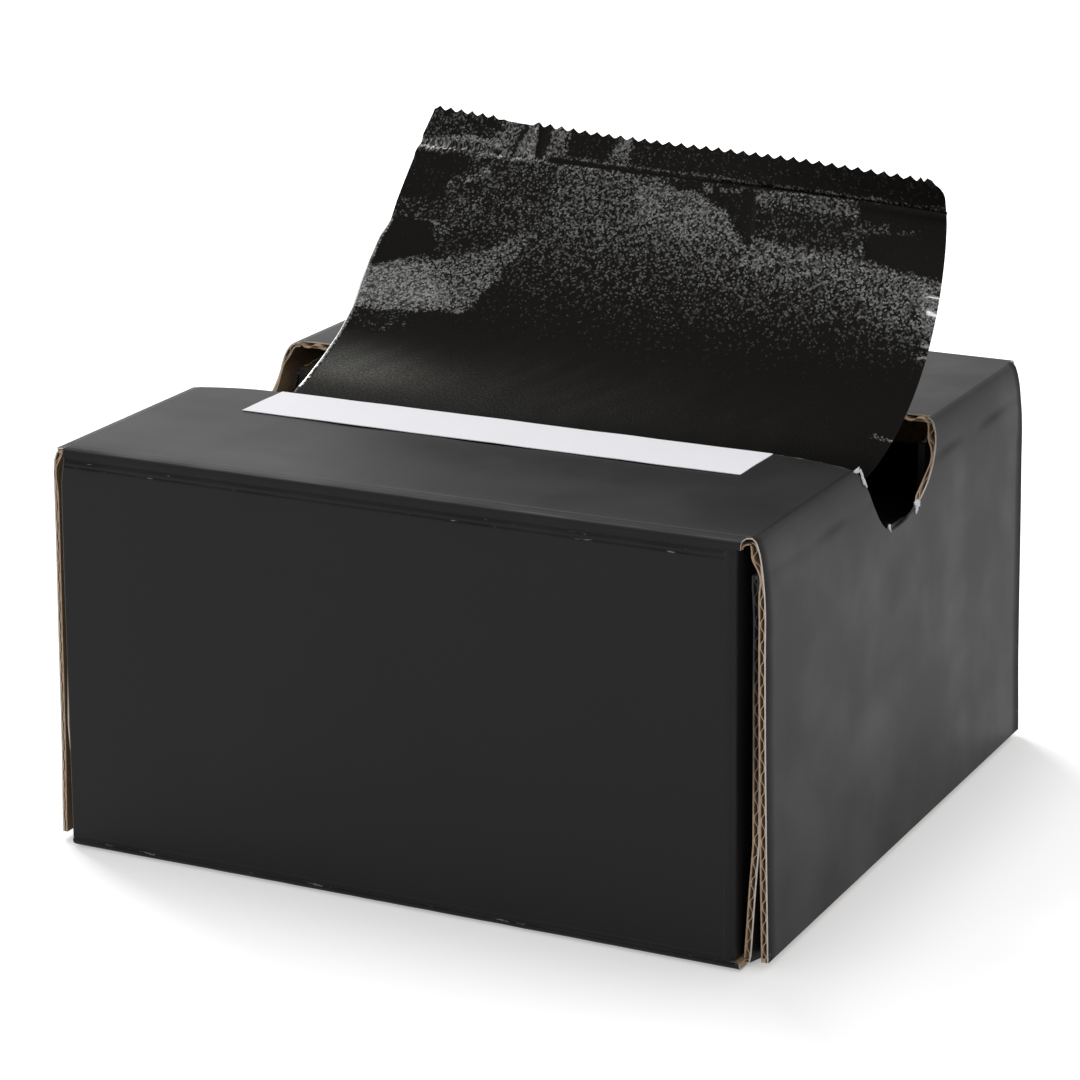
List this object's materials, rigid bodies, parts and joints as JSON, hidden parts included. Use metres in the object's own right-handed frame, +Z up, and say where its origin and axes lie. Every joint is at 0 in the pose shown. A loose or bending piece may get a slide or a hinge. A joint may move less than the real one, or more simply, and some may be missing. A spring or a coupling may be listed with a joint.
{
  "type": "pop-up foil sheet dispenser box",
  "caption": "Folded black corrugated carton with a wide slot across its top and a notch in each side, holding a pack of interfolded foil sheets, one of which stands pulled up.",
  "frame": {"origin": "middle of the carton's base, on the surface that it stands on", "axes": "+Z up, -Y out of the front panel, +X to the right seen from the front, along the slot"},
  "size_m": [0.1546, 0.1484, 0.1338],
  "materials": {
    "printed_board": "black print with a satin film outside, brown kraft paper inside and at the cut edges",
    "foil": "thin embossed foil, black on one side and silver on the other",
    "black_foil": "black lacquered embossed foil, silver at its cut edges and on its back",
    "label_paper": "matt white paper"
  },
  "bodies": {
    "root": {"carton": "printed_board", "foil_stack": "foil", "pulled_sheet": "black_foil", "label_strip": "label_paper"}
  },
  "joints": []
}
